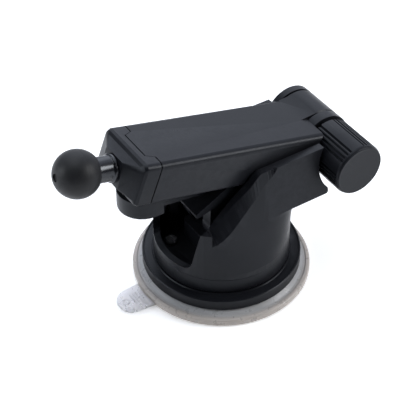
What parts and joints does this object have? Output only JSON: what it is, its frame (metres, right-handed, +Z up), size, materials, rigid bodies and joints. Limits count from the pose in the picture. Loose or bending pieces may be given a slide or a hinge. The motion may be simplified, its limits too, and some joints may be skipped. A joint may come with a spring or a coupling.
{
  "type": "car phone mount base",
  "caption": "Folding telescopic arm on a gel suction base with a cam lever, a ribbed clamp knob at the hinge and a ball joint for a phone holder.",
  "frame": {"origin": "centre of the suction cup's flat underside", "axes": "+Z up, away from the surface the cup holds; the folded arm and the lever point towards -X; the clamp knob is on the -Y side"},
  "size_m": [0.1195, 0.0688, 0.0805],
  "materials": {
    "black_plastic": "fine satin moulded ABS",
    "gloss_black": "smooth acetal",
    "black_rubber": "soft matt",
    "clear_gel": "tacky translucent polyurethane gel",
    "zinc_steel": "zinc plated",
    "brass": "turned"
  },
  "bodies": {
    "base": {"gel_cup": "clear_gel", "base_plate": "black_plastic", "cup_housing": "black_plastic", "tower_shell": "black_plastic", "deck_screw_1": "zinc_steel", "deck_screw_2": "zinc_steel", "deck_screw_3": "zinc_steel", "deck_screw_4": "zinc_steel", "tower_screw_1": "zinc_steel", "tower_screw_2": "zinc_steel", "tower_screw_3": "zinc_steel", "tower_screw_4": "zinc_steel", "pivot_bolt": "zinc_steel", "knob_washer": "zinc_steel"},
    "plunger": {"cup_plunger": "gloss_black", "lever_pin": "zinc_steel"},
    "lever": {"suction_lever": "black_plastic"},
    "arm": {"arm_sleeve": "black_plastic", "arm_bottom_cover": "black_plastic", "slide_bumper": "black_rubber", "friction_washer_near": "black_rubber", "friction_washer_far": "black_rubber", "cover_screw_1": "zinc_steel", "cover_screw_2": "zinc_steel"},
    "slide": {"inner_slide": "gloss_black", "slide_pad": "black_rubber", "end_cap": "black_plastic", "cap_screw_1": "zinc_steel", "cap_screw_2": "zinc_steel", "ball_stud": "gloss_black", "ball_head": "black_rubber"},
    "knob": {"knob_grip": "black_plastic", "knob_cap": "black_plastic", "knob_insert": "brass"}
  },
  "joints": [
    {"name": "arm_fold", "type": "hinge", "parent": "base", "child": "arm", "pos_m": [0.0421, 0, 0.0464], "axis": [0, 1, 0], "range_deg": [0, 180]},
    {"name": "arm_extend", "type": "slide", "parent": "arm", "child": "slide", "axis": [-0.969, 0, 0.247], "range_m": [0, 0.042]},
    {"name": "plunger_lift", "type": "slide", "parent": "base", "child": "plunger", "axis": [0, 0, 1], "range_m": [0, 0.0032]},
    {"name": "lever_lock", "type": "hinge", "parent": "plunger", "child": "lever", "pos_m": [0, 0, 0.026], "axis": [0, -1, 0], "range_deg": [0, 48]},
    {"name": "knob_turn", "type": "hinge", "parent": "base", "child": "knob", "pos_m": [0.0421, 0, 0.0464], "axis": [0, 1, 0], "continuous": true}
  ],
  "couplings": [
    {"joint": "lever_lock", "follows": "plunger_lift", "rad_per_m": 261.8}
  ]
}
